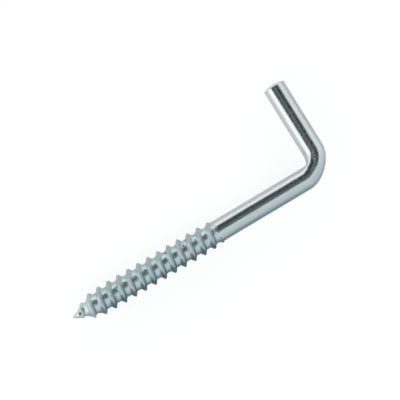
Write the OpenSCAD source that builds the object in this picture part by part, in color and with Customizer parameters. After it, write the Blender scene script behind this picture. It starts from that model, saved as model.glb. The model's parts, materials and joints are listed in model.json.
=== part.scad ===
/* [Wire] */
// Diameter of the drawn wire that the hook is made of
wire_d = 6; // [4:0.5:9]

/* [Hook] */
// Plain shank, from the end of the thread to the middle of the arm
plain_len = 31.5; // [18:0.5:60]
// Arm, from the middle of the shank to the top of its cut end
arm_len = 25.4; // [20:0.2:45]
// Angle that the arm is bent through, out of the shank's line
bend_angle = 91; // [80:1:100]
// Distance from the centre of the bend's outer arc to the inner side of the wire
bend_core_r = 2.7; // [2:0.1:5]
// Radius left in the crease on the inner side of the bend
crease_r = 0.8; // [0.4:0.1:1.5]
// How far the pinched wire swells out sideways at the middle of the bend
bend_swell = 0.25; // [0:0.05:0.6]
// Rounding of the edge of the cut end
end_round = 0.35; // [0.2:0.05:0.8]
// How far the middle of the cut end stands above its edge
end_crown = 0.4; // [0.1:0.05:0.8]

/* [Thread] */
// Threaded length, from the gimlet point to the end of the run-out
thread_len = 44.5; // [30:0.5:70]
// Distance from one ridge to the next
thread_pitch = 3; // [2.4:0.1:4]
// Height of the rolled ridge above the wire's surface
thread_rise = 0.75; // [0.4:0.05:1.2]
// Depth of the rolled groove below the wire's surface
thread_sink = 0.3; // [0.1:0.05:0.6]
// Width of the ridge at its foot
ridge_w = 2; // [1.2:0.1:2.2]
// Width of the ridge's narrow top
crest_w = 0.4; // [0.1:0.05:0.8]
// How far the middle of the ridge's top stands above its corners
crest_crown = 0.08; // [0.02:0.02:0.2]
// Length over which the ridge and the groove run out into the plain shank
runout_len = 3.5; // [1:0.5:8]
// Which way the thread turns
thread_hand = -1; // [-1:Left, 1:Right]

/* [Point] */
// Length of the gimlet point, from its end to where the core has its full size
point_len = 8.2; // [4:0.2:10]
// Radius of the blunt end of the point
point_r = 0.2; // [0.1:0.05:0.5]
// Length over which the ridge's crest swells from the point to its full size
swell_len = 8.5; // [5:0.5:12]

/* [Hidden] */

// Steps round the thread
thread_steps = 32;
// Steps round the wire in the bend, and steps along the bend
bend_sides = 40;
bend_steps = 22;
// Steps in the rounding of the cut end
end_steps = 6;
$fn = 96;

// Where the first ridge crosses the arm's side of the shank, in pitches from the thread's end
ridge_phase = 0.38;
// How full the point is (1 is a straight cone), and how quickly the ridge rises in its run-out
point_fullness = 0.84;
ridge_fullness = 0.45;
// Length of the thread's core inside the plain shank, and of the bend's core inside both straights
core_seat = 1;
bend_seat = 1;
// How far the bend's core lies under the surface there, and how far the straights lap the bend
bend_sink = 0.3;
bend_lap = 0.02;

wire_r = wire_d / 2;
tip_x = -thread_len;
bend_mid_r = bend_core_r + wire_r;
bend_setback = bend_mid_r * tan(bend_angle / 2);
arm_straight = arm_len - end_crown - end_round - bend_setback + bend_lap;

// Position along a ramp of the given length, from 0 to 1
function ramp(distance, length) = min(1, max(0, distance / length));

// Radius of the solid core under the thread
function core_r(x) =
    let (point = point_r + (wire_r - thread_sink - point_r) * pow(ramp(x - tip_x, point_len), point_fullness),
         groove = wire_r - thread_sink * pow(ramp(-x, runout_len), ridge_fullness),
         seat = wire_r - thread_sink)
    x < 0 ? min(point, groove) : seat;

// Radius of the ridge's crest, swelling from the point
function crest_r(x) = (wire_r + thread_rise) * sin(90 * ramp(x - tip_x, swell_len));

// Share of the full ridge that is formed at a place along the shank
function thread_share(x) =
    min(1, max(0, crest_r(x) - core_r(x)) / ridge_h) * pow(ramp(-x, runout_len), ridge_fullness);

// Section of the ridge along the shank, foot to foot: place and height
ridge_h = thread_rise + thread_sink;
ridge_section = [
    [0, 0],
    [(ridge_w - crest_w) / 2, ridge_h - crest_crown],
    [ridge_w / 2, ridge_h],
    [(ridge_w + crest_w) / 2, ridge_h - crest_crown],
    [ridge_w, 0]
];
section_rows = len(ridge_section);

// Place along the shank where the ridge's first foot starts; side goes round the thread
function ridge_start(side) =
    thread_pitch * (ridge_phase + thread_hand * side / thread_steps) - ridge_w / 2;

// Place along the shank of one row of the helix; each pitch holds the section's rows once
function row_x(side, row) =
    let (turn = floor(row / section_rows))
    ridge_start(side) + thread_pitch * turn + ridge_section[row - turn * section_rows][0];

// Last row of the helix at or before a place along the shank
function row_before(side, x) =
    let (turn = floor((x - ridge_start(side)) / thread_pitch),
         rest = x - ridge_start(side) - thread_pitch * turn,
         passed = [for (point = ridge_section) if (point[0] <= rest) 1])
    turn * section_rows + len(passed) - 1;

thread_first = row_before(0, tip_x) - 2 * section_rows;
thread_rows = row_before(0, core_seat) + 2 * section_rows - thread_first;

// A row held between the thread's two ends, so that the ridge is cut off square there
function held_row(side, row) =
    min(max(row, row_before(side, tip_x)), row_before(side, core_seat) + 1);

// Number of a point in the list; one whole turn on is the same point one pitch along
function helix_point(side, row) =
    let (turned = side == thread_steps,
         real_side = turned ? 0 : side,
         real_row = turned ? row + thread_hand * section_rows : row)
    real_side * thread_rows + held_row(real_side, real_row) - thread_first;

function helix_vertex(side, row) =
    let (x = min(core_seat, max(tip_x, row_x(side, row))),
         ridge = ridge_section[row - section_rows * floor(row / section_rows)][1],
         radius = core_r(x) + ridge * thread_share(x),
         turn = 360 * side / thread_steps)
    [x, radius * cos(turn), radius * sin(turn)];

// Whether a triangle has three points of its own, which those closed up at the ends do not
function proper(triangle) =
    triangle[0] != triangle[1] && triangle[1] != triangle[2] && triangle[2] != triangle[0];

module rolled_thread() {
    points = [
        for (side = [0 : thread_steps - 1], row = [0 : thread_rows - 1])
            helix_vertex(side, row + thread_first)
    ];
    skin = [
        for (side = [0 : thread_steps - 1], row = [thread_first : thread_first + thread_rows - 2])
            let (a = helix_point(side, row),
                 b = helix_point(side + 1, row),
                 c = helix_point(side + 1, row + 1),
                 d = helix_point(side, row + 1))
            for (triangle = [[a, d, c], [a, c, b]])
                if (proper(triangle)) triangle
    ];
    point_end = [
        for (side = [0 : thread_steps - 1])
            helix_point(side, thread_first)
    ];
    seat_end = [
        for (side = [thread_steps - 1 : -1 : 0])
            helix_point(side, thread_first + thread_rows - 1)
    ];
    polyhedron(points = points, faces = concat(skin, [point_end, seat_end]), convexity = 12);
}

module plain_shank() {
    rotate([0, 90, 0])
        cylinder(r = wire_r, h = plain_len - bend_setback + bend_lap);
}

// Distance from the centre of the bend's arc to its creased inner side
function crease_reach(turn) =
    let (half = bend_angle / 2,
         off_crease = half - min(turn, bend_angle - turn),
         corner = bend_core_r / cos(half),
         fillet = corner - crease_r / cos(half),
         filleted = abs(fillet * sin(off_crease)) < crease_r
             && off_crease < atan2(crease_r * sin(half), fillet + crease_r * cos(half)))
    filleted
        ? fillet * cos(off_crease) + sqrt(pow(crease_r, 2) - pow(fillet * sin(off_crease), 2))
        : bend_core_r / cos(min(turn, bend_angle - turn));

// One point of the bend's skin; the first and last rings are seated inside the straights
function bend_vertex(step, side) =
    let (held = min(bend_steps, max(0, step)),
         seat = step - held,
         turn = bend_angle * held / bend_steps,
         around = 360 * side / bend_sides,
         sink = bend_lap + bend_sink * abs(seat),
         inner = bend_mid_r - crease_reach(turn),
         depth = (cos(around) > 0 ? wire_r : inner) - sink,
         width = wire_r - sink + bend_swell * pow(sin(180 * held / bend_steps), 2),
         reach = bend_mid_r + depth * cos(around),
         along = bend_seat * seat)
    [reach * sin(turn) + along * cos(turn), along * sin(turn) - reach * cos(turn), width * sin(around)];

module creased_bend() {
    points = [
        for (step = [-1 : bend_steps + 1], side = [0 : bend_sides - 1])
            bend_vertex(step, side)
    ];
    skin = [
        for (step = [0 : bend_steps + 1], side = [0 : bend_sides - 1])
            let (next = (side + 1) % bend_sides,
                 a = step * bend_sides + side,
                 b = step * bend_sides + next,
                 c = (step + 1) * bend_sides + next,
                 d = (step + 1) * bend_sides + side)
            for (triangle = [[a, b, c], [a, c, d]]) triangle
    ];
    first_end = [for (side = [bend_sides - 1 : -1 : 0]) side];
    last_end = [for (side = [0 : bend_sides - 1]) (bend_steps + 2) * bend_sides + side];
    translate([plain_len - bend_setback, bend_mid_r, 0])
        polyhedron(points = points, faces = concat(skin, [first_end, last_end]), convexity = 4);
}

// Half section of the straight arm with its rounded and crowned cut end
module arm_section() {
    edge_r = wire_r - end_round;
    rounding = [
        for (step = [0 : end_steps])
            let (turn = 90 * step / end_steps)
            [edge_r + end_round * cos(turn), arm_straight + end_round * sin(turn)]
    ];
    crown = [
        for (step = [1 : end_steps])
            let (share = 1 - step / end_steps)
            [edge_r * share, arm_straight + end_round + end_crown * (1 - pow(share, 2))]
    ];
    polygon(concat([[0, 0], [wire_r, 0]], rounding, crown));
}

module arm() {
    translate([plain_len, 0, 0])
        rotate([0, 0, bend_angle])
            translate([bend_setback - bend_lap, 0, 0])
                rotate([0, 90, 0])
                    rotate_extrude() arm_section();
}

module screw_hook() {
    color([0.74, 0.77, 0.80]) {
        rolled_thread();
        plain_shank();
        creased_bend();
        arm();
    }
}

screw_hook();
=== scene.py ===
"""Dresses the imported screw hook: its rolled and plated skin, the tent of light, the floor and the camera."""

import json
import logging
import math
from collections.abc import Mapping, Sequence
from dataclasses import dataclass, field, replace
from enum import Enum
from functools import reduce
from typing import Any

import bpy
import numpy as np
from mathutils import Euler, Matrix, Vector, noise


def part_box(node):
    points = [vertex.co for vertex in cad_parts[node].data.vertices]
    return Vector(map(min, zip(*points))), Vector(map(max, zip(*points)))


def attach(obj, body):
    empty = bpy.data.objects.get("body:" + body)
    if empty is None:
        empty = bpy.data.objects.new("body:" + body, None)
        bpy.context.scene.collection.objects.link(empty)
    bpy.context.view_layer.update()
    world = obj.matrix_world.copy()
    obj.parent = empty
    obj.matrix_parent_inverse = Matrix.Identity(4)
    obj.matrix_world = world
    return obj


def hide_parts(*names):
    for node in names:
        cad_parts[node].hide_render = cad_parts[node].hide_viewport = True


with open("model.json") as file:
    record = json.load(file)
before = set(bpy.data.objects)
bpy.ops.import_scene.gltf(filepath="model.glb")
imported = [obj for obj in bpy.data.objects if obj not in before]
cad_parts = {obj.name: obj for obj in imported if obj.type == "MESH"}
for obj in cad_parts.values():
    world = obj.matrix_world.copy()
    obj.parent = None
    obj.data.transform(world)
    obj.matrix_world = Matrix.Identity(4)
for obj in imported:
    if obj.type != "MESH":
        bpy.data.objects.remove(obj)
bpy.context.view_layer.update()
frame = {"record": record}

Colour = tuple[float, float, float, float]
Triple = tuple[float, float, float]
Span = tuple[float, float]
Socket = bpy.types.NodeSocket

LOG = logging.getLogger("screw_hook")
NODE = "screw_hook"
PIECE = "plated_screw_hook"
BODY = "root"
MM = 0.001
WHITE: Colour = (1.0, 1.0, 1.0, 1.0)

# What the skin's points say to the finish, each a number
SHARES = ("thread", "crest", "flank", "pinch")
# How much slimmer in radius the drawn wire is than the solid's
UNDERSIZE = 0.035
# Power of a plain ellipse
ELLIPSE = 2.0
# Average of the noise node
NOISE_MEAN = 0.5
# Places of the colour sockets on a Mix node
MIX_FIRST, MIX_SECOND, MIX_RESULT = 6, 7, 2


def ramp(distance: np.ndarray, length: float) -> np.ndarray:
    """Position along a ramp of the given length, from 0 to 1."""
    return np.clip(distance / length, 0.0, 1.0)


def smooth(share: np.ndarray) -> np.ndarray:
    """Eases a share from 0 to 1 in and out."""
    held = np.clip(share, 0.0, 1.0)
    return held * held * (3 - 2 * held)


def bell(off: float) -> float:
    """1 in the middle, falling away on both sides."""
    return math.exp(-(off**2))


def wrapped(along: np.ndarray, turn: np.ndarray, radius: np.ndarray | float) -> np.ndarray:
    """Points round the shank's axis, as rows."""
    return np.stack([along, radius * np.cos(turn), radius * np.sin(turn)], axis=-1).reshape(-1, 3)


def placed(name: str, data: bpy.types.ID) -> bpy.types.Object:
    """Puts a new object into the scene.

    Args:
        name: The object's name.
        data: Its mesh or camera.

    Returns:
        The object.
    """
    made = bpy.data.objects.new(name, data)
    bpy.context.scene.collection.objects.link(made)
    return made


@dataclass(frozen=True)
class Ripple:
    """Smooth noise over points, the same each time.

    The scale says how many ripples there are in a millimetre, and the seed moves them.
    """

    scale: Triple
    seed: float

    def at(self, points: np.ndarray) -> np.ndarray:
        """Reads the noise at points in rows: one value from about -1 to 1 for each."""
        moved = points * np.asarray(self.scale) + self.seed
        return np.array([noise.noise(Vector(row)) for row in moved.tolist()])


class Hand(Enum):
    """Which way a thread turns, as the sign of its turn along the shank."""

    LEFT = -1
    RIGHT = 1


@dataclass(frozen=True)
class HookSizes:
    """The hook's main sizes in millimetres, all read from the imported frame."""

    wire_r: float
    crest_r: float
    tip_x: float
    corner_x: float
    bend_angle: float
    arm_from: float
    arm_to: float
    arm_len: float

    @classmethod
    def from_frame(cls, record: Mapping[str, Any], low: Vector, high: Vector) -> "HookSizes":
        """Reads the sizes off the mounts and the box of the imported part.

        Args:
            record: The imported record.
            low: Lowest corner of the part's box, in metres.
            high: Highest corner of the part's box, in metres.

        Returns:
            The sizes, in millimetres and radians.
        """
        mounts = {mount["name"]: mount for mount in record["mounts"]}
        arm, thread = mounts["hook_arm"], mounts["wood_thread"]
        place = Vector(arm["pos_m"]) / MM
        axis = Vector(arm["axis"])
        corner_x = place.x - axis.x / axis.y * place.y
        middle = (place - Vector((corner_x, 0, 0))).length
        half = arm["dims"]["length_mm"] / 2
        return cls(
            wire_r=arm["dims"]["r_mm"] - UNDERSIZE,
            crest_r=thread["dims"]["r_mm"],
            tip_x=low.x / MM,
            corner_x=corner_x,
            bend_angle=math.atan2(axis.y, axis.x),
            arm_from=middle - half,
            arm_to=middle + half,
            arm_len=high.y / MM / axis.y,
        )

    @property
    def bend_mid_r(self) -> float:
        """Radius of the wire's centre line in the bend."""
        return self.arm_from / math.tan(self.bend_angle / 2)

    @property
    def bend_core_r(self) -> float:
        """Distance from the centre of the bend's arc to the wire's inner side."""
        return self.bend_mid_r - self.wire_r

    @property
    def bend_len(self) -> float:
        """Length of the wire's centre line in the bend."""
        return self.bend_mid_r * self.bend_angle

    @property
    def shank_to(self) -> float:
        """Where the straight shank ends and the bend starts."""
        return self.corner_x - self.arm_from


@dataclass(frozen=True)
class ThreadForm:
    """The rolled wood thread and its gimlet point, in millimetres."""

    pitch: float = 3.0
    sink: float = 0.3
    crest_w: float = 0.26
    point_foot: float = 0.98
    bend_foot: float = 0.78
    gimlet_foot: float = 2.75
    gimlet_hollow: float = 2.2
    gimlet_to: float = 4.7
    gimlet_fade: float = 3.5
    hollow: float = 1.2
    full: float = 0.82
    rounding: float = 0.12
    rounding_steps: int = 7
    phase: float = 0.345
    hand: Hand = Hand.LEFT
    point_len: float = 7.0
    point_r: float = 0.2
    swell_len: float = 8.5
    fall_from: float = -5.0
    fall: float = 0.35
    stop_from: float = -0.8
    stop_w: float = 0.45
    shoulder_from: float = -1.72
    shoulder_w: float = 0.84
    lap_w: float = 0.09
    lap_depth: float = 0.07
    flank_from: float = 0.22
    flank_to: float = 1.0

    def gimlet(self, crest: np.ndarray, sizes: HookSizes) -> np.ndarray:
        """How much a ridge is one of the gimlet point's, whose long flank fills the groove before it."""
        return 1 - ramp(crest - sizes.tip_x - self.gimlet_to, self.gimlet_fade)

    def section(self, offset: np.ndarray, gimlet: np.ndarray | float) -> np.ndarray:
        """Height share of the ridge's rounded section.

        Args:
            offset: Distance along the shank from the ridge's crest.
            gimlet: How much the ridge is one of the gimlet point's.

        Returns:
            1 on the crest and 0 in the groove.
        """
        reach = self.point_foot + (self.gimlet_foot - self.point_foot) * gimlet
        hollow = self.hollow + (self.gimlet_hollow - self.hollow) * gimlet
        total = np.zeros_like(offset)
        for step in np.linspace(-self.rounding, self.rounding, self.rounding_steps):
            off = offset + step
            foot = np.where(off < 0, reach, self.bend_foot)
            share = np.clip((foot - np.abs(off)) / (foot - self.crest_w / 2), 0.0, 1.0)
            total += share ** np.where(off < 0, hollow, self.full)
        return total / self.rounding_steps

    def flank(self, offset: np.ndarray) -> np.ndarray:
        """Which flank of the ridge a place is on.

        Args:
            offset: Distance along the shank from the ridge's crest.

        Returns:
            -1 on the flank that faces the point, 1 on the one that faces the bend and 0 off both.
        """
        off = np.abs(offset)
        below_crest = smooth(off / self.flank_from)
        above_foot = smooth((self.flank_to - off) / self.flank_from)
        return np.sign(offset) * below_crest * above_foot

    def core(self, along: np.ndarray, sizes: HookSizes) -> np.ndarray:
        """Radius of the solid core under the ridge.

        Args:
            along: Places along the shank.
            sizes: The hook's sizes.

        Returns:
            The core's radius at each place.
        """
        full = sizes.wire_r - self.sink
        cone = self.point_r + (full - self.point_r) * ramp(along - sizes.tip_x, self.point_len)
        shoulder = ramp(along - self.shoulder_from, self.shoulder_w)
        return cone + (sizes.wire_r - full) * shoulder

    def ridge(self, along: np.ndarray, sizes: HookSizes) -> np.ndarray:
        """Height of the ridge over the core, which swells from the point and stops at the plain shank.

        Args:
            along: Places along the shank.
            sizes: The hook's sizes.

        Returns:
            The height at each place.
        """
        crest = sizes.crest_r * np.sin(math.pi / 2 * ramp(along - sizes.tip_x, self.swell_len))
        crest = crest - self.fall * ramp(along - self.fall_from, self.stop_from - self.fall_from)
        going = 1 - smooth((along - self.stop_from) / self.stop_w)
        return np.maximum(crest - self.core(along, sizes), 0.0) * going


@dataclass
class Skin:
    """One closed mesh skin in the making, with what each point says to the finish."""

    sides: int
    points: list[np.ndarray] = field(default_factory=list)
    drawn: list[np.ndarray] = field(default_factory=list)
    shares: dict[str, list[np.ndarray]] = field(default_factory=lambda: {name: [] for name in SHARES})
    faces: list[tuple[int, ...]] = field(default_factory=list)
    count: int = 0

    def add(self, points: np.ndarray, drawn: np.ndarray, **shares: np.ndarray | float) -> np.ndarray:
        """Adds points.

        Args:
            points: The points as rows, in millimetres.
            drawn: The same points on the wire as it was before it was bent.
            shares: What the points say to the finish: how much they are part of the thread, how high
                they are on its crest, which flank they are on, and how much the bend's pinch reached
                them. One that isn't given is 0.

        Returns:
            The points' numbers.
        """
        first = self.count
        self.points.append(points)
        self.drawn.append(drawn)
        for name, kept in self.shares.items():
            kept.append(np.broadcast_to(shares.get(name, 0.0), len(points)))
        self.count += len(points)
        return np.arange(first, self.count)

    def bridge(self, near: np.ndarray, far: np.ndarray) -> None:
        """Joins two rings of points with a band of faces.

        Args:
            near: Numbers of the ring nearer the point.
            far: Numbers of the next ring.
        """
        following = np.roll(np.arange(self.sides), -1)
        band = np.stack([near, near[following], far[following], far], axis=1)
        self.faces.extend(map(tuple, band.tolist()))

    def close(self, ring: np.ndarray, pole: int, outward: bool) -> None:
        """Closes a ring of points onto a pole.

        Args:
            ring: Numbers of the ring's points.
            pole: The pole's number.
            outward: True at the arm's cut end, and False at the point.
        """
        following = np.roll(ring, -1)
        pairs = zip(ring.tolist(), following.tolist(), strict=True)
        self.faces.extend((a, b, pole) if outward else (b, a, pole) for a, b in pairs)

    def build(self, name: str) -> bpy.types.Object:
        """Makes the Blender object.

        Args:
            name: The object's name.

        Returns:
            The object, linked into the scene.
        """
        used = np.unique(np.concatenate([np.array(face) for face in self.faces]))
        number = np.full(self.count, -1)
        number[used] = np.arange(len(used))
        faces = [tuple(number[list(face)].tolist()) for face in self.faces]
        mesh = bpy.data.meshes.new(name)
        mesh.from_pydata((np.concatenate(self.points)[used] * MM).tolist(), [], faces)
        for key, parts in self.shares.items():
            values = np.concatenate(parts)[used].astype(np.float32)
            mesh.attributes.new(key, "FLOAT", "POINT").data.foreach_set("value", values)
        drawn = np.concatenate(self.drawn)[used].astype(np.float32)
        mesh.attributes.new("drawn", "FLOAT_VECTOR", "POINT").data.foreach_set("vector", drawn.ravel())
        mesh.polygons.foreach_set("use_smooth", np.ones(len(mesh.polygons), bool))
        mesh.validate()
        mesh.update()
        return placed(name, mesh)


@dataclass
class RolledThread:
    """The threaded end of the hook, whose mesh follows the helix of its ridge."""

    sizes: HookSizes
    form: ThreadForm = field(default_factory=ThreadForm)
    rows_per_pitch: int = 32
    spare_turns: int = 2
    head_x: float = 0.9
    plain_from: float = 0.45
    plain_w: float = 1.5
    tip_cap: float = 0.1
    grown_h: float = 0.5
    full_h: float = 0.75
    height_wobble: float = 0.045
    height_bias: float = 0.5
    height_ripple: Ripple = Ripple((0.45, 0.45, 0.45), 11.0)
    dent: float = 0.03
    dent_ripple: Ripple = Ripple((1.6, 1.1, 1.1), 37.0)
    ripple_r: float = 3.0
    lap_mean: float = 0.6
    lap_spread: float = 0.8
    drift: float = 0.05
    drift_r: float = 2.0
    drift_fade: float = 2.0
    drift_ripple: Ripple = Ripple((0.3, 0.5, 0.5), 5.0)

    @property
    def rows(self) -> np.ndarray:
        """Numbers of the helical grid's rows, with spare turns at both ends.

        Returns:
            The numbers, of which 0 is the ridge's crest that the phase places.
        """
        spare = self.spare_turns * self.rows_per_pitch
        first = math.floor((self.sizes.tip_x / self.form.pitch - self.form.phase) * self.rows_per_pitch)
        last = math.ceil((self.head_x / self.form.pitch - self.form.phase) * self.rows_per_pitch)
        return np.arange(first - spare, last + spare)

    def row_places(self, sides: int) -> np.ndarray:
        """Places of the grid's rows along the shank, one line for each side of the thread."""
        side = np.arange(sides)[:, None] / sides * self.form.hand.value
        return self.form.pitch * (self.form.phase + side + self.rows[None, :] / self.rows_per_pitch)

    def crest_offsets(self) -> np.ndarray:
        """Works out how far each row is from its own ridge's crest.

        Returns:
            The distances along the shank.
        """
        half = self.rows_per_pitch // 2
        step = (self.rows + half) % self.rows_per_pitch - half
        return step * self.form.pitch / self.rows_per_pitch

    def surface(
        self, along: np.ndarray, turn: np.ndarray, offset: np.ndarray
    ) -> tuple[np.ndarray, np.ndarray]:
        """Works out the thread's surface.

        Args:
            along: Places along the shank.
            turn: Angles round the shank.
            offset: Distance of each point from its ridge's crest.

        Returns:
            The radius, and the height on the ridge from 0 to 1.
        """
        form, crest = self.form, along - offset
        core, ridge = form.core(along, self.sizes), form.ridge(along, self.sizes)
        around = wrapped(along, turn, self.ripple_r)
        uneven = self.height_ripple.at(around).reshape(along.shape)
        finer = self.dent_ripple.at(around).reshape(along.shape)
        near = form.section(offset, form.gimlet(crest, self.sizes))
        following = form.section(offset - form.pitch, form.gimlet(crest + form.pitch, self.sizes))
        section = np.maximum(near, following)
        grown = ramp(ridge, self.grown_h)
        lap = np.exp(-((offset / form.lap_w) ** 2)) * form.lap_depth
        lap = lap * (self.lap_mean + self.lap_spread * finer) * grown
        height = (ridge - self.height_wobble * grown * (self.height_bias - uneven)) * section - lap
        worn = self.dent * np.minimum(finer, 0) * (1 - section) * grown
        return core + height + worn, form.section(offset, 0.0) * ramp(ridge, self.full_h)

    def add_to(self, skin: Skin) -> np.ndarray:
        """Adds the thread to the skin.

        Args:
            skin: The skin in the making.

        Returns:
            The numbers of the ring of points at the head's end.
        """
        start = self.sizes.tip_x + self.tip_cap
        places = self.row_places(skin.sides)
        low = (places <= start).sum(axis=1) - 1
        high = (places < self.head_x).sum(axis=1)
        along = np.clip(places, start, self.head_x)
        sides = np.arange(skin.sides)
        turn = np.broadcast_to(sides[:, None] / skin.sides * math.tau, places.shape)
        offset = np.broadcast_to(self.crest_offsets(), places.shape)
        radius, crest = self.surface(along, turn, offset)
        drift = self.drift * self.drift_ripple.at(wrapped(along, turn, self.drift_r)).reshape(along.shape)
        fade = ramp(along - start, self.drift_fade) * ramp(self.head_x - along, self.drift_fade)
        points = wrapped(along + drift * crest * fade, turn, radius)
        thread = smooth((self.plain_from - along) / self.plain_w)
        flank = self.form.flank(offset) * smooth(self.form.ridge(along, self.sizes) / self.grown_h)
        shares = {"thread": thread.ravel(), "crest": crest.ravel(), "flank": flank.ravel()}
        first = int(skin.add(points, points, **shares)[0])
        self._add_faces(skin, first, low, high)
        ring = first + sides * places.shape[1]
        end = np.array([[self.sizes.tip_x, 0.0, 0.0]])
        pole = skin.add(end, end, thread=1.0)
        skin.close(ring + low, int(pole[0]), outward=False)
        return ring + high

    def _add_faces(self, skin: Skin, first: int, low: np.ndarray, high: np.ndarray) -> None:
        """Adds the helical grid's faces, whose rows close up at both ends of the thread.

        Args:
            skin: The skin in the making.
            first: Number of the grid's first point.
            low: The row that lies on the point's ring, for each side.
            high: The row that lies on the head's ring, for each side.
        """
        count = len(self.rows)
        row = np.arange(count - 1)
        for side in range(skin.sides):
            near = first + side * count
            wraps = side == skin.sides - 1
            other = 0 if wraps else side + 1
            shift = self.form.hand.value * self.rows_per_pitch if wraps else 0
            far = first + other * count
            a, d = (near + np.clip(row + k, low[side], high[side]) for k in (0, 1))
            b, c = (far + np.clip(row + k + shift, low[other], high[other]) for k in (0, 1))
            for quad in np.stack([a, b, c, d], axis=1).tolist():
                corners = tuple(dict.fromkeys(quad))
                if len(corners) > 2:
                    skin.faces.append(corners)


@dataclass(frozen=True)
class Station:
    """A place along the bent wire, in millimetres and radians."""

    drawn: float
    x: float
    y: float
    turn: float
    inner: float
    outer: float
    width: float
    fullness: float = ELLIPSE

    def moved(self, out: float) -> "Station":
        """The same section a little further along the wire."""
        x, y = self.x + out * math.cos(self.turn), self.y + out * math.sin(self.turn)
        return replace(self, drawn=self.drawn + out, x=x, y=y)


@dataclass
class BentWire:
    """The plain shank, the creased bend and the straight arm with its cut end."""

    sizes: HookSizes
    from_x: float = 1.2
    shank_step: float = 0.45
    bend_rings: int = 64
    arm_step: float = 0.45
    crease_r: float = 0.8
    upset: float = 0.24
    upset_at: float = math.radians(54.0)
    upset_spread: float = math.radians(15.0)
    swell: float = 0.25
    swell_power: float = 2.0
    flattening: float = 0.42
    flattening_power: float = 1.5
    squareness: float = 1.6
    square_onset: float = 3.0
    square_spread: float = math.radians(22.0)
    knuckle: float = 3.6
    knuckle_at: float = math.radians(42.0)
    knuckle_spread: Span = (math.radians(17.0), math.radians(9.0))
    end_round: float = 0.35
    round_rings: int = 7
    crown_rings: int = 9
    waviness: float = 0.012
    wave_bias: float = 0.6
    long_ripple: Ripple = Ripple((0.12, 0.35, 0.35), 3.0)
    short_ripple: Ripple = Ripple((0.4, 0.5, 0.5), 19.0)
    short_share: float = 0.5

    def bent(self, turn: float) -> float:
        """How far into the bend a place is: 0 at both its ends and 1 in the middle."""
        return max(0.0, math.sin(math.pi * turn / self.sizes.bend_angle))

    def crease_reach(self, turn: float) -> float:
        """Distance from the centre of the bend's arc to its creased inner side.

        Args:
            turn: Angle along the bend, in radians.

        Returns:
            The distance in millimetres.
        """
        half = self.sizes.bend_angle / 2
        nearest = min(turn, self.sizes.bend_angle - turn)
        off = half - nearest
        fillet = (self.sizes.bend_core_r - self.crease_r) / math.cos(half)
        edge = math.atan2(self.crease_r * math.sin(half), fillet + self.crease_r * math.cos(half))
        if off >= edge:
            return self.sizes.bend_core_r / math.cos(nearest)
        return fillet * math.cos(off) + math.sqrt(self.crease_r**2 - (fillet * math.sin(off)) ** 2)

    def fullness(self, turn: float) -> float:
        """How full the pinched inner side is; the power of its section's curve.

        Args:
            turn: Angle along the bend, in radians.

        Returns:
            The power, which is 2 for the plain ellipse.
        """
        off = turn - self.knuckle_at
        spread = self.knuckle_spread[0 if off < 0 else 1]
        begun = min(1.0, self.square_onset * self.bent(turn))
        square = self.squareness * bell(off / self.square_spread)
        return ELLIPSE + begun * square + self.knuckle * bell(off / spread)

    def bend_station(self, share: float) -> Station:
        """Works out where one ring of the bend is.

        Args:
            share: How far along the bend it is, from 0 to 1.

        Returns:
            The ring's place.
        """
        sizes = self.sizes
        turn = share * sizes.bend_angle
        upset = self.upset * bell((turn - self.upset_at) / self.upset_spread)
        return Station(
            drawn=sizes.shank_to + sizes.bend_len * share,
            x=sizes.shank_to + sizes.bend_mid_r * math.sin(turn),
            y=sizes.bend_mid_r * (1 - math.cos(turn)),
            turn=turn,
            inner=sizes.bend_mid_r - self.crease_reach(turn) + upset,
            outer=sizes.wire_r - self.flattening * self.bent(turn) ** self.flattening_power,
            width=sizes.wire_r + self.swell * self.bent(turn) ** self.swell_power,
            fullness=self.fullness(turn),
        )

    def stations(self) -> list[Station]:
        """Works out where each ring of the wire is.

        Returns:
            The rings' places, from the thread to the start of the cut end.
        """
        sizes = self.sizes
        even = {"inner": sizes.wire_r, "outer": sizes.wire_r, "width": sizes.wire_r}
        shank = np.arange(self.from_x, sizes.shank_to, self.shank_step)
        rings = [Station(along, along, 0.0, 0.0, **even) for along in shank]
        rings += [self.bend_station(share) for share in np.linspace(0, 1, self.bend_rings)]
        start = replace(rings[-1], turn=sizes.bend_angle, fullness=ELLIPSE, **even)
        straight = sizes.arm_to - sizes.arm_from
        outs = np.linspace(0, straight, round(straight / self.arm_step))[1:]
        return rings + [start.moved(out) for out in outs]

    def ring(self, station: Station, sides: int, cut: float = 0.0) -> tuple[np.ndarray, np.ndarray]:
        """Works out one ring of points.

        Args:
            station: The ring's place.
            sides: Number of points.
            cut: How much smaller than the wire the ring is.

        Returns:
            The points, and the same points on the straight wire.
        """
        around = np.arange(sides) / sides * math.tau
        cos, sin = np.cos(around), np.sin(around)
        inside = cos > 0
        power = np.where(inside, ELLIPSE / station.fullness, 1.0)
        inward = (np.where(inside, station.inner, station.outer) - cut) * cos
        x = station.x - inward * math.sin(station.turn)
        y = station.y + inward * math.cos(station.turn)
        up = (station.width - cut) * np.sign(sin) * np.abs(sin) ** power
        full = self.sizes.wire_r - cut
        drawn = np.stack([np.full(sides, station.drawn), full * cos, full * sin], axis=1)
        return np.stack([x, y, up], axis=1), drawn

    def shaped(self, points: np.ndarray, drawn: np.ndarray, station: Station) -> np.ndarray:
        """Presses the wire's slight unevenness into a ring.

        Args:
            points: The ring's points.
            drawn: The same points on the straight wire.
            station: The ring's place.

        Returns:
            The pressed points.
        """
        outward = points - np.array([station.x, station.y, 0.0])
        outward /= np.linalg.norm(outward, axis=1, keepdims=True)
        wave = self.long_ripple.at(drawn) + self.short_share * self.short_ripple.at(drawn)
        return points + outward * (self.waviness * (wave - self.wave_bias))[:, None]

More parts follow.
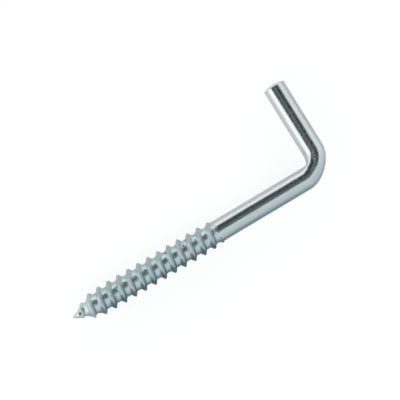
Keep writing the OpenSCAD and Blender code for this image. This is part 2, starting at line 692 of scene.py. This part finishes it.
    def add_to(self, skin: Skin, ring: np.ndarray) -> None:
        """Adds the shank, the bend and the arm to the skin.

        Args:
            skin: The skin in the making.
            ring: The thread's last ring of points.
        """
        stations = self.stations()
        for station in stations:
            points, drawn = self.ring(station, skin.sides)
            pinch = self.bent(station.turn) ** 2
            numbers = skin.add(self.shaped(points, drawn, station), drawn, pinch=pinch)
            skin.bridge(ring, numbers)
            ring = numbers
        self._add_cut_end(skin, ring, stations[-1])

    def _add_cut_end(self, skin: Skin, ring: np.ndarray, last: Station) -> None:
        """Rounds and crowns the arm's cut end.

        Args:
            skin: The skin in the making.
            ring: The arm's last ring of points.
            last: The place of that ring.
        """
        top = self.sizes.arm_len - self.sizes.arm_to
        crown = top - self.end_round
        edge = self.sizes.wire_r - self.end_round
        steps = [
            (self.end_round * math.sin(turn), self.end_round * (1 - math.cos(turn)))
            for turn in np.linspace(0, math.pi / 2, self.round_rings)[1:]
        ]
        steps += [
            (top - crown * share**2, self.sizes.wire_r - edge * share)
            for share in np.linspace(1, 0, self.crown_rings)[1:-1]
        ]
        for out, cut in steps:
            numbers = skin.add(*self.ring(last.moved(out), skin.sides, cut))
            skin.bridge(ring, numbers)
            ring = numbers
        middle = last.moved(top)
        pole = skin.add(np.array([[middle.x, middle.y, 0.0]]), np.array([[middle.drawn, 0.0, 0.0]]))
        skin.close(ring, int(pole[0]), outward=True)


@dataclass(frozen=True)
class Value:
    """A shader socket that carries a number, with Python's own arithmetic."""

    graph: "Graph"
    socket: Socket

    def __add__(self, other: "Value | float") -> "Value":
        """Sum of two values."""
        return self.graph.math("ADD", self, other)

    __radd__ = __add__

    def __sub__(self, other: "Value | float") -> "Value":
        """Difference of two values."""
        return self.graph.math("SUBTRACT", self, other)

    def __rsub__(self, other: "Value | float") -> "Value":
        """A number less this value."""
        return self.graph.math("SUBTRACT", other, self)

    def __mul__(self, other: "Value | float") -> "Value":
        """Product of two values."""
        return self.graph.math("MULTIPLY", self, other)

    __rmul__ = __mul__

    def larger(self, other: "Value | float") -> "Value":
        """The larger of two values."""
        return self.graph.math("MAXIMUM", self, other)

    def held(self, low: float = 0.0, high: float = 1.0) -> "Value":
        """This value, kept between two numbers."""
        return self.graph.math("MINIMUM", self.larger(low), high)

    def eased(self, edge: Span) -> "Value":
        """Eases the value from 0 to 1.

        Args:
            edge: Where it is 0 and where it is 1; the second may be the lower.

        Returns:
            The eased value.
        """
        settings = {"interpolation_type": "SMOOTHSTEP"}
        inputs = {"Value": self, "From Min": edge[0], "From Max": edge[1]}
        node = self.graph.node("ShaderNodeMapRange", settings, inputs)
        return Value(self.graph, node.outputs["Result"])


Input = Value | Socket | float | Sequence[float]


class Blend(Enum):
    """How a second colour acts on the first."""

    COVER = "MIX"
    TINT = "MULTIPLY"


@dataclass
class Graph:
    """A node tree that nodes are added to."""

    tree: bpy.types.NodeTree

    def __post_init__(self) -> None:
        """Empties the tree."""
        self.tree.nodes.clear()

    def node(
        self,
        kind: str,
        settings: Mapping[str, Any] | None = None,
        inputs: Mapping[str | int, Input] | None = None,
    ) -> bpy.types.Node:
        """Adds a node.

        Args:
            kind: The node's type.
            settings: Its properties, set before anything is linked.
            inputs: The values or links of its sockets, by name or number.

        Returns:
            The node.
        """
        made = self.tree.nodes.new(kind)
        for key, value in (settings or {}).items():
            setattr(made, key, value)
        for key, value in (inputs or {}).items():
            if isinstance(value, Value):
                self.tree.links.new(value.socket, made.inputs[key])
            elif isinstance(value, Socket):
                self.tree.links.new(value, made.inputs[key])
            else:
                made.inputs[key].default_value = value
        return made

    def math(self, operation: str, *values: Value | float) -> Value:
        """Adds a Math node on the given values."""
        made = self.node("ShaderNodeMath", {"operation": operation}, dict(enumerate(values)))
        return Value(self, made.outputs[0])

    def attribute(self, name: str) -> Value:
        """Reads a number that the mesh carries."""
        made = self.node("ShaderNodeAttribute", {"attribute_name": name})
        return Value(self, made.outputs["Fac"])

    def split(self, vector: Socket) -> list[Value]:
        """Takes a vector's three numbers."""
        made = self.node("ShaderNodeSeparateXYZ", None, {0: vector})
        return [Value(self, part) for part in made.outputs]

    def scaled(self, vector: Socket, scale: Sequence[float]) -> Socket:
        """Stretches a vector."""
        made = self.node("ShaderNodeVectorMath", {"operation": "MULTIPLY"}, {0: vector, 1: scale})
        return made.outputs["Vector"]

    def mixed(self, share: Input, first: Input, second: Input, blend: Blend = Blend.COVER) -> Socket:
        """Mixes two colours.

        Args:
            share: How much there is of the second colour.
            first: The first colour.
            second: The second colour.
            blend: How the second acts on the first.

        Returns:
            The mixed colour.
        """
        settings = {"data_type": "RGBA", "blend_type": blend.value}
        inputs = {"Factor": share, MIX_FIRST: first, MIX_SECOND: second}
        return self.node("ShaderNodeMix", settings, inputs).outputs[MIX_RESULT]


@dataclass
class Surface:
    """The skin as the finish reads it: places in millimetres on the straight wire, and shares.

    Inward goes from -3 on the bend's outer side of the wire to 3 on the arm's side.
    """

    graph: Graph
    drawn: Socket
    along: Value
    inward: Value
    thread: Value
    crest: Value
    flank: Value
    pinch: Value
    made: dict["Layer", Value] = field(default_factory=dict)

    @classmethod
    def read(cls, graph: Graph) -> "Surface":
        """Reads what the mesh carries."""
        drawn = graph.node("ShaderNodeAttribute", {"attribute_name": "drawn"}).outputs["Vector"]
        return cls(graph, drawn, *graph.split(drawn)[:2], *(graph.attribute(name) for name in SHARES))

    def of(self, layer: "Layer") -> Value:
        """How much there is of a layer, whose nodes are added once.

        Args:
            layer: The noise, mark or zone.

        Returns:
            Its value at a point.
        """
        if layer not in self.made:
            self.made[layer] = layer.over(self)
        return self.made[layer]


@dataclass(frozen=True)
class Clouds:
    """Noise, with its number of clouds in a millimetre and of finer layers; an edge makes it a share."""

    scale: Triple
    detail: float
    edge: Span | None = None
    roughness: float = 0.55

    def over(self, surface: Surface) -> Value:
        """Adds the noise.

        Args:
            surface: The skin's values.

        Returns:
            The noise, about 0.5 on average, or the share that the edge makes of it.
        """
        vector = surface.graph.scaled(surface.drawn, self.scale)
        inputs = {"Vector": vector, "Scale": 1.0, "Detail": self.detail, "Roughness": self.roughness}
        made = surface.graph.node("ShaderNodeTexNoise", {"noise_dimensions": "3D"}, inputs)
        value = Value(surface.graph, made.outputs["Fac"])
        return value.eased(self.edge) if self.edge else value


@dataclass(frozen=True)
class Mark:
    """A small mark on the plating, in millimetres on the straight wire."""

    place: Triple
    reach: Triple
    edge: Span = (1.0, 0.55)

    def over(self, surface: Surface) -> Value:
        """Adds the mark.

        Args:
            surface: The skin's values.

        Returns:
            How much of it there is, from 0 to 1.
        """
        near = surface.graph.scaled(surface.drawn, [1 / reach for reach in self.reach])
        middle = [place / reach for place, reach in zip(self.place, self.reach, strict=True)]
        off = surface.graph.node("ShaderNodeVectorMath", {"operation": "DISTANCE"}, {0: near, 1: middle})
        return Value(surface.graph, off.outputs["Value"]).eased(self.edge)


@dataclass(frozen=True)
class Zone:
    """A part of the skin between soft edges along the wire, inward through it and up the ridge."""

    share: float = 1.0
    along: tuple[Span, ...] = ()
    inward: tuple[Span, ...] = ()
    crest: tuple[Span, ...] = ()

    def over(self, surface: Surface) -> Value:
        """Adds the zone.

        Args:
            surface: The skin's values.

        Returns:
            Its share inside and 0 outside.
        """
        parts = [surface.along.eased(edge) for edge in self.along]
        parts += [surface.inward.eased(edge) for edge in self.inward]
        parts += [surface.crest.eased(edge) for edge in self.crest]
        return math.prod(parts, start=self.share)


Layer = Clouds | Mark | Zone


@dataclass(frozen=True)
class ZincPlate:
    """Bright zinc on drawn wire, duller and speckled where the thread was rolled, with painted shade,
    highlights and reflections in its colours.
    """

    zinc: Colour = (0.745, 0.79, 0.81, 1.0)
    lilac: Colour = (0.755, 0.775, 0.83, 1.0)
    teal: Colour = (0.705, 0.79, 0.795, 1.0)
    warm: Colour = (0.77, 0.795, 0.80, 1.0)
    # Painted lighter reflection on the arm's inner rim
    painted_rim_reflection: Colour = (0.85, 0.85, 0.845, 1.0)
    # Painted bluish reflection on the shank's lower side and the arm's outer side
    shank_low_reflection: Colour = (0.75, 0.83, 0.845, 1.0)
    arm_outer_reflection: Colour = (0.785, 0.81, 0.835, 1.0)
    pinched: Colour = (0.715, 0.75, 0.81, 1.0)
    rolled: Colour = (0.625, 0.745, 0.775, 1.0)
    rolled_green: Colour = (0.61, 0.745, 0.73, 1.0)
    rolled_lilac: Colour = (0.655, 0.725, 0.79, 1.0)
    # Painted highlight on the grooves' upper band
    groove_highlight: Colour = (0.84, 0.955, 0.965, 1.0)
    # Painted blue reflection on the grooves' lower side
    groove_blue_reflection: Colour = (0.73, 0.85, 0.92, 1.0)
    # Painted highlight on the flanks that face the point and at the point's end
    painted_highlight: Colour = (0.90, 1.0, 1.0, 1.0)
    # Painted shade on the lee flanks, low on the flanks that face the point and on the grooves' lower rim
    painted_flank_shade: Colour = (0.31, 0.395, 0.425, 1.0)
    # Darker painted shade at the lee flanks' feet and on the ridge's lower side
    painted_deep_shade: Colour = (0.16, 0.20, 0.215, 1.0)
    tip: Colour = (0.80, 0.775, 0.79, 1.0)
    # Worn crest top on the lower side: burnished, and lighter as a painted highlight
    worn: Colour = (0.66, 0.76, 0.80, 1.0)
    black: Colour = (0.13, 0.155, 0.155, 1.0)
    green_tint: Colour = (0.945, 1.0, 0.975, 1.0)
    lilac_tint: Colour = (0.99, 0.965, 1.0, 1.0)
    wire_lilac: Clouds = Clouds((0.16, 0.30, 0.30), 1.0, (0.45, 0.75))
    wire_teal: Clouds = Clouds((-0.22, 0.35, -0.35), 1.0, (0.45, 0.8))
    thread_green: Clouds = Clouds((0.35, 0.35, 0.35), 1.0, (0.48, 0.66))
    thread_lilac: Clouds = Clouds((0.35, -0.35, -0.35), 1.0, (0.48, 0.66))
    streaks: Clouds = Clouds((0.12, 2.6, 2.6), 3.0)
    grain: Clouds = Clouds((2.2, 2.2, 2.2), 3.0)
    specks: Clouds = Clouds((1.1, 1.1, 1.1), 1.0, (0.70, 0.78))
    pits: Clouds = Clouds((1.5, 2.0, 2.0), 2.0, (0.45, 0.7))
    hazes: Clouds = Clouds((2.0, 3.0, 3.0), 2.0, (0.42, 0.68))
    rolls: Clouds = Clouds((4.0, 0.7, 0.7), 2.0)
    chatter: Clouds = Clouds((2.0, 1.4, 1.4), 3.0)
    wrinkles: Clouds = Clouds((0.5, 1.5, 1.5), 2.0)
    arm: Zone = Zone(along=((30.0, 42.0),))
    # The shank's lower side and the arm's outer side, where the painted bluish reflection goes
    side: Zone = Zone(inward=((-1.1, -1.9),))
    # The arm's inner rim, where the painted lighter reflection goes
    arm_rim: Zone = Zone(along=((33.0, 38.0),), inward=((1.8, 2.3),))
    pinch_side: Zone = Zone(inward=((0.4, -1.6),))
    tinted_side: Zone = Zone(inward=((0.6, -0.6),))
    ridge: Zone = Zone(crest=((0.05, 0.45),))
    # The grooves' upper band, where the painted highlight goes
    groove_highlight_band: Zone = Zone(0.9, inward=((0.3, 0.9), (1.9, 1.2)))
    # The grooves' lower side, where the painted blue reflection goes
    blue_reflection_side: Zone = Zone(inward=((0.2, -1.0),))
    # Band where the flanks that face the point carry a painted highlight
    lit_flank_band: Zone = Zone(inward=((-2.2, -0.6), (2.0, 0.8)))
    # The point's end, which carries a painted highlight
    point_highlight: Zone = Zone(0.8, along=((-35.5, -41.5),))
    # Where the painted shade falls: on the lee flanks, less near the crest, low on the flanks that face the
    # point, on the grooves' lower rim, at the lee flanks' feet and under the ridge
    lee_shade_crest_fade: Zone = Zone(0.45, crest=((0.4, 0.85),))
    lee_side: Zone = Zone(0.8, inward=((1.8, 0.4),))
    hidden_side: Zone = Zone(0.8, along=((-41.5, -35.5),), inward=((-0.7, -1.8),))
    low_rim: Zone = Zone(0.8, inward=((-1.9, -2.7),))
    flank_shade_reach: Zone = Zone(along=((-43.5, -40.0),))
    lee_foot: Zone = Zone(0.6, ((-41.5, -35.5),), ((-0.4, 0.1), (1.3, 0.9)), ((0.7, 0.3),))
    under_side: Zone = Zone(0.85, along=((-41.5, -32.5),), inward=((-0.9, -2.8),))
    tip_end: Zone = Zone(0.8, along=((-41.6, -43.6),))
    # Worn crest top on the lower side, which also carries a painted highlight
    worn_and_highlit_top: Zone = Zone(inward=((-2.6, -1.7), (-0.5, -1.4)), crest=((0.8, 1.0),))
    wire_rough: float = 0.13
    groove_rough: float = 0.275
    ridge_rough: float = 0.6
    rough_spread: float = 0.28
    grain_share: float = 0.6
    speck_rough: float = 0.2
    pit_rough: float = 0.13
    pit_loss: float = 0.5
    pinch_rough: float = 0.03
    rough_limits: Span = (0.05, 0.8)
    haze: float = 0.08
    thread_haze: float = 0.05
    groove_haze: float = 0.2
    groove_grain: Span = (0.52, 0.62)
    rub_haze: float = 0.5
    rub_grain: Span = (0.35, 0.65)
    ridge_dull: float = 0.55
    lit_flank_dull: float = 0.1
    streak_bump: float = 0.006
    grain_bump: float = 0.007
    thread_bump: float = 0.1
    pinch_bump: float = 0.02
    nicks: tuple[Mark, ...] = (
        Mark((-14.95, 2.22, 1.54), (0.8, 0.46, 0.6)),
        Mark((-10.2, 1.46, 2.27), (0.34, 0.32, 0.4)),
        Mark((-9.15, 2.28, 1.45), (0.22, 0.2, 0.4)),
        Mark((-42.2, 0.0, 1.25), (0.55, 0.52, 1.2)),
        Mark((-41.25, 0.85, 1.3), (0.18, 0.36, 0.8)),
    )
    rubs: tuple[Mark, ...] = (Mark((32.7, 0.7, 2.95), (2.1, 0.5, 1.5)),)

    def blackened(self, surface: Surface) -> Value:
        """Where the black specks and nicks are."""
        specks = surface.of(self.specks) * surface.thread * (1 - surface.crest)
        return reduce(Value.larger, map(surface.of, self.nicks), specks)

    def lit_flank(self, surface: Surface) -> Value:
        """Where the ridge's flank that faces the point carries a painted highlight."""
        return (surface.flank * -1).held() * surface.of(self.lit_flank_band)

    def dulled(self, surface: Surface) -> Value:
        """Where the ridge is dull, which is all of it but its worn top."""
        return surface.of(self.ridge) * (1 - surface.of(self.worn_and_highlit_top))

    def tinted(self, graph: Graph, tone: Socket, green: Value, lilac: Value) -> Socket:
        """Stains a colour faintly green and lilac."""
        stained = graph.mixed(green, tone, self.green_tint, Blend.TINT)
        return graph.mixed(lilac, stained, self.lilac_tint, Blend.TINT)

    def wire_colour(self, surface: Surface) -> Socket:
        """Works out the plain wire's colour.

        Args:
            surface: The skin's values.

        Returns:
            The colour.
        """
        of, mixed = surface.of, surface.graph.mixed
        lilac, teal, arm = of(self.wire_lilac), of(self.wire_teal), of(self.arm)
        tone = mixed(teal, mixed(lilac, self.zinc, self.lilac), self.teal)
        tone = mixed(arm, tone, self.warm)
        # Painted bluish reflection on the shank's lower side and the arm's outer side
        tone = mixed(of(self.side), tone, mixed(arm, self.shank_low_reflection, self.arm_outer_reflection))
        # Painted lighter reflection on the arm's inner rim
        tone = mixed(of(self.arm_rim), tone, self.painted_rim_reflection)
        tone = mixed(surface.pinch * of(self.pinch_side), tone, self.pinched)
        outer = of(self.tinted_side)
        return self.tinted(surface.graph, tone, teal * outer, lilac * outer)

    def thread_colour(self, surface: Surface) -> Socket:
        """Works out the rolled thread's colour.

        Its lee flanks, which face the bend, and its lower side carry painted shade, and its grooves and the
        flanks that face the point carry painted highlights and reflections.

        Args:
            surface: The skin's values.

        Returns:
            The colour.
        """
        of, mixed = surface.of, surface.graph.mixed
        green, lilac = of(self.thread_green), of(self.thread_lilac)
        groove, ahead = 1 - of(self.ridge), (surface.flank * -1).held()
        lee = surface.flank.held() * (1 - of(self.lee_shade_crest_fade))
        # Painted shade on the lee flanks, low on the flanks that face the point and on the grooves' lower rim
        flank_shade = (lee * of(self.lee_side)).larger(ahead * of(self.hidden_side))
        flank_shade = flank_shade.larger(groove * of(self.low_rim)) * of(self.flank_shade_reach)
        # Darker painted shade at the lee flanks' feet and under the ridge
        deep_shade = (lee * of(self.lee_foot)).larger(of(self.ridge) * of(self.under_side))
        tone = mixed(lilac, mixed(green, self.rolled, self.rolled_green), self.rolled_lilac)
        # Painted highlights and reflections on the grooves and the flanks that face the point, painted shade
        # on the lee flanks and the lower side, then the tip's tone and the worn top with its painted highlight
        for share, colour in (
            (groove * of(self.groove_highlight_band), self.groove_highlight),
            (groove * of(self.blue_reflection_side), self.groove_blue_reflection),
            (self.lit_flank(surface), self.painted_highlight),
            (of(self.point_highlight), self.painted_highlight),
            (flank_shade, self.painted_flank_shade),
            (deep_shade, self.painted_deep_shade),
            (of(self.tip_end), self.tip),
            (of(self.worn_and_highlit_top), self.worn),
        ):
            tone = mixed(share, tone, colour)
        return self.tinted(surface.graph, tone, green, lilac)

    def colour(self, surface: Surface) -> Socket:
        """Works out the plate's colour, with its black specks and nicks."""
        plate = surface.graph.mixed(surface.thread, self.wire_colour(surface), self.thread_colour(surface))
        return surface.graph.mixed(self.blackened(surface), plate, self.black)

    def roughness(self, surface: Surface) -> Value:
        """Works out the roughness, which the thread's ridge has most of.

        Args:
            surface: The skin's values.

        Returns:
            The roughness, within its limits.
        """
        of, thread = surface.of, surface.thread
        uneven = of(self.grain) * self.grain_share + of(self.streaks) * (1 - self.grain_share) - NOISE_MEAN
        rough = self.wire_rough + thread * (self.groove_rough - self.wire_rough)
        rough = rough + self.dulled(surface) * (self.ridge_rough - self.groove_rough)
        rough = rough + uneven * self.rough_spread + self.blackened(surface) * self.speck_rough
        rough = rough + of(self.pits) * self.pit_rough * (1 - thread * self.pit_loss)
        return (rough + surface.pinch * self.pinch_rough).held(*self.rough_limits)

    def metallic(self, surface: Surface) -> Value:
        """Works out how metallic the plate is: less on hazes, rubs and the thread's ridge.

        Args:
            surface: The skin's values.

        Returns:
            A share from 0 to 1.
        """
        of, thread, grain = surface.of, surface.thread, surface.of(self.grain)
        hazes = of(self.hazes) * self.haze + thread * self.thread_haze
        cloudy = grain.eased(self.groove_grain) * self.groove_haze
        hazes = hazes + thread * (1 - of(self.ridge)) * cloudy
        for rub in self.rubs:
            hazes = hazes + of(rub) * grain.eased(self.rub_grain) * self.rub_haze
        dull = self.lit_flank(surface) * self.lit_flank_dull + self.ridge_dull
        return 1 - hazes - self.dulled(surface) * dull

    def height(self, surface: Surface) -> Value:
        """Works out the fine relief: drawing streaks, grain, the rolls' marks and the bend's wrinkles.

        Args:
            surface: The skin's values.

        Returns:
            The height in millimetres.
        """
        of, thread = surface.of, surface.thread
        height = of(self.streaks) * self.streak_bump * (1 - thread) + of(self.grain) * self.grain_bump
        height = height + of(self.rolls) * self.streak_bump * thread
        height = height + of(self.chatter) * self.thread_bump * thread
        return height + of(self.wrinkles) * self.pinch_bump * surface.pinch

    def material(self) -> bpy.types.Material:
        """Builds the finish.

        Returns:
            The material.
        """
        made = bpy.data.materials.new("bright_zinc_plate")
        made.use_nodes = True
        graph = Graph(made.node_tree)
        surface = Surface.read(graph)
        relief = {"Strength": 1.0, "Distance": MM, "Height": self.height(surface)}
        shader = graph.node("ShaderNodeBsdfPrincipled", None, {
            "Base Color": self.colour(surface),
            "Metallic": self.metallic(surface),
            "Roughness": self.roughness(surface),
            "Normal": graph.node("ShaderNodeBump", None, relief).outputs["Normal"],
        })
        graph.node("ShaderNodeOutputMaterial", None, {"Surface": shader.outputs["BSDF"]})
        return made


@dataclass(frozen=True)
class PaleFloor:
    """The pale floor, which the camera sees as white apart from the hook's shadow.

    What the hook reflects of it is shaded beside the shank, by place in millimetres.
    """

    lit: Colour = (0.96, 0.96, 0.955, 1.0)
    shaded: Colour = (0.48, 0.57, 0.60, 1.0)
    shade_x: Span = (62.0, 20.0)
    shade_near: Span = (8.0, -10.0)
    shade_far: Span = (-40.0, -80.0)
    far_share: float = 0.35
    beyond_x: Span = (33.0, 38.0)
    beyond_y: Span = (-6.0, 2.0)
    beyond_share: float = 0.25
    glossy_share: float = 0.30
    seen: Colour = (0.30, 0.30, 0.30, 1.0)
    seen_glow: float = 0.85
    gap: float = 0.01
    half_width: float = 1.2

    def lit_share(self, graph: Graph) -> Value:
        """How well lit the floor is at a place.

        Args:
            graph: The floor's nodes.

        Returns:
            A share from 0 to 1.
        """
        place = graph.node("ShaderNodeNewGeometry").outputs["Position"]
        along, across = (part * (1 / MM) for part in graph.split(place)[:2])
        shade = along.eased(self.shade_x) * across.eased(self.shade_near)
        shade = shade * (1 - across.eased(self.shade_far) * self.far_share)
        beyond = along.eased(self.beyond_x) * across.eased(self.beyond_y) * self.beyond_share
        return 1 - shade.larger(beyond)

    def material(self) -> bpy.types.Material:
        """Builds the floor's material.

        Returns:
            The material.
        """
        made = bpy.data.materials.new("pale_floor")
        made.use_nodes = True
        graph = Graph(made.node_tree)
        path = graph.node("ShaderNodeLightPath").outputs
        rays = ("Is Camera Ray", "Is Glossy Ray", "Is Transmission Ray")
        camera, glossy, through = (Value(graph, path[key]) for key in rays)
        lit = self.lit_share(graph)
        seen = (camera + glossy * lit * self.glossy_share + through).held()
        tone = graph.mixed(lit, self.shaded, self.lit)
        plain = graph.node("ShaderNodeBsdfDiffuse", None, {"Color": tone})
        bright = graph.node("ShaderNodeBsdfDiffuse", None, {"Color": self.seen})
        glow = graph.node("ShaderNodeEmission", None, {"Color": WHITE, "Strength": self.seen_glow})
        white = graph.node("ShaderNodeAddShader", None, {0: bright.outputs[0], 1: glow.outputs[0]})
        both = {0: seen, 1: plain.outputs[0], 2: white.outputs[0]}
        mixed = graph.node("ShaderNodeMixShader", None, both)
        graph.node("ShaderNodeOutputMaterial", None, {"Surface": mixed.outputs["Shader"]})
        return made

    def lay(self, under: float) -> bpy.types.Object:
        """Lays the floor.

        Args:
            under: Height of the hook's lowest point, in metres.

        Returns:
            The floor.
        """
        half = self.half_width
        mesh = bpy.data.meshes.new("floor")
        corners = [(-half, -half, 0), (half, -half, 0), (half, half, 0), (-half, half, 0)]
        mesh.from_pydata(corners, [], [(0, 1, 2, 3)])
        floor = placed("floor", mesh)
        floor.location.z = under - self.gap * MM
        mesh.materials.append(self.material())
        return floor


@dataclass(frozen=True)
class Opening:
    """The dark opening in the tent's roof, between straight edges that lean out from straight up."""

    light: Triple
    edges: tuple[Span, ...]
    softness: float

    def mask(self, graph: Graph, way: Sequence[Value]) -> Value:
        """How much of the opening there is in a direction.

        Args:
            graph: The world's nodes.
            way: How far the direction goes along X, Y and Z.

        Returns:
            A value from 0 to 1.
        """
        share: Value | float = 1.0
        for facing, tilt in self.edges:
            turn = math.radians(facing)
            out = way[0] * math.cos(turn) + way[1] * math.sin(turn)
            lean = graph.math("ARCTAN2", out, way[2]) * math.degrees(1)
            share = lean.eased((tilt + self.softness, tilt - self.softness)) * share
        return share


@dataclass(frozen=True)
class Patch:
    """A round soft patch of the tent, with a lamp or a dark thing behind its cloth."""

    light: Triple
    facing: float
    tilt: float
    reach: float
    softness: float

    def mask(self, graph: Graph, way: Sequence[Value]) -> Value:
        """How much of the patch there is in a direction.

        Args:
            graph: The world's nodes.
            way: How far the direction goes along X, Y and Z.

        Returns:
            A value from 0 to 1.
        """
        turn, lean = math.radians(self.facing), math.radians(self.tilt)
        middle = (math.sin(lean) * math.cos(turn), math.sin(lean) * math.sin(turn), math.cos(lean))
        near = way[0] * middle[0] + way[1] * middle[1] + way[2] * middle[2]
        off = graph.math("ARCCOSINE", near.held(-1.0, 1.0)) * math.degrees(1)
        return off.eased((self.reach + self.softness, self.reach - self.softness))


@dataclass(frozen=True)
class LightTent:
    """The white tent round the hook, with the dark opening that the camera looks through.

    A direction is given by the way it faces, in degrees round from X, and by its tilt from straight up.
    """

    lower: Colour = (0.62, 0.67, 0.69, 1.0)
    upper: Colour = (1.02, 1.04, 1.03, 1.0)
    rise: Span = (-0.9, 0.9)
    parts: tuple[Opening | Patch, ...] = (
        Patch((0.33, 0.385, 0.40), facing=270.0, tilt=105.0, reach=25.0, softness=30.0),
        Patch((1.24, 1.28, 1.28), facing=176.5, tilt=57.0, reach=20.5, softness=14.0),
        Patch((1.1, 1.1, 1.1), facing=128.5, tilt=74.0, reach=16.0, softness=9.0),
        Patch((1.5, 1.5, 1.5), facing=54.5, tilt=76.0, reach=16.0, softness=9.0),
        Opening((0.055, 0.071, 0.077), ((-10.0, 41.5), (80.0, 57.2), (205.0, 35.5), (270.0, 8.3)), 7.5),
        Patch((0.026, 0.033, 0.037), facing=128.0, tilt=32.0, reach=14.0, softness=12.0),
        Patch((0.029, 0.037, 0.041), facing=3.0, tilt=16.0, reach=11.0, softness=10.0),
        Patch((0.145, 0.170, 0.180), facing=105.0, tilt=7.0, reach=9.0, softness=8.5),
    )

    def build(self) -> bpy.types.World:
        """Builds the tent as the scene's world.

        Returns:
            The world.
        """
        world = bpy.data.worlds.new("light_tent")
        world.use_nodes = True
        graph = Graph(world.node_tree)
        way = graph.split(graph.node("ShaderNodeTexCoord").outputs["Generated"])
        colour: Input = graph.mixed(way[1].eased(self.rise), self.lower, self.upper)
        for part in self.parts:
            colour = graph.mixed(part.mask(graph, way), colour, (*part.light, 1.0))
        path = graph.node("ShaderNodeLightPath").outputs
        shown = graph.mixed(Value(graph, path["Is Camera Ray"]), colour, WHITE)
        back = graph.node("ShaderNodeBackground", None, {"Color": shown, "Strength": 1.0})
        graph.node("ShaderNodeOutputWorld", None, {"Surface": back.outputs["Background"]})
        bpy.context.scene.world = world
        return world


@dataclass(frozen=True)
class OverheadCamera:
    """The camera straight over the hook, turned so that the shank climbs to the upper right.

    Its places and distances are in millimetres, and its turn is in degrees.
    """

    centre_x: float = -0.466
    centre_y: float = 9.385
    frame_width: float = 103.9
    distance: float = 450.0
    shank_climb: float = 30.82
    sensor: float = 36.0
    clip: Span = (10.0, 10000.0)

    def place(self) -> bpy.types.Object:
        """Places the camera and makes it the scene's.

        Returns:
            The camera.
        """
        data = bpy.data.cameras.new("overhead_camera")
        data.sensor_width = self.sensor
        data.lens = self.distance * self.sensor / self.frame_width
        data.clip_start, data.clip_end = (reach * MM for reach in self.clip)
        camera = placed("overhead_camera", data)
        camera.location = Vector((self.centre_x, self.centre_y, self.distance)) * MM
        camera.rotation_euler = Euler((0.0, 0.0, -math.radians(self.shank_climb)))
        bpy.context.scene.camera = camera
        return camera


@dataclass
class ScrewHook:
    """The whole hook: one skin from the gimlet point to the arm's cut end."""

    sizes: HookSizes
    sides: int = 128
    finish: ZincPlate = field(default_factory=ZincPlate)

    def build(self) -> bpy.types.Object:
        """Builds the hook's skin, plates it and puts it in the place of its solid.

        Returns:
            The finished piece.
        """
        skin = Skin(self.sides)
        ring = RolledThread(self.sizes).add_to(skin)
        BentWire(self.sizes).add_to(skin, ring)
        piece = skin.build(PIECE)
        piece.data.materials.append(self.finish.material())
        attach(piece, BODY)
        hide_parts(NODE)
        return piece


def main() -> None:
    """Builds the hook, the floor, the light and the camera."""
    logging.basicConfig(level=logging.INFO, format="%(name)s: %(message)s")
    bpy.context.scene.view_settings.view_transform = "Standard"
    OverheadCamera().place()
    low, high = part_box(NODE)
    hook = ScrewHook(HookSizes.from_frame(frame["record"], low, high)).build()
    LOG.info("%s has %d points and %d faces", hook.name, len(hook.data.vertices), len(hook.data.polygons))
    LightTent().build()
    PaleFloor().lay(low.z)


if __name__ == "__main__":
    main()
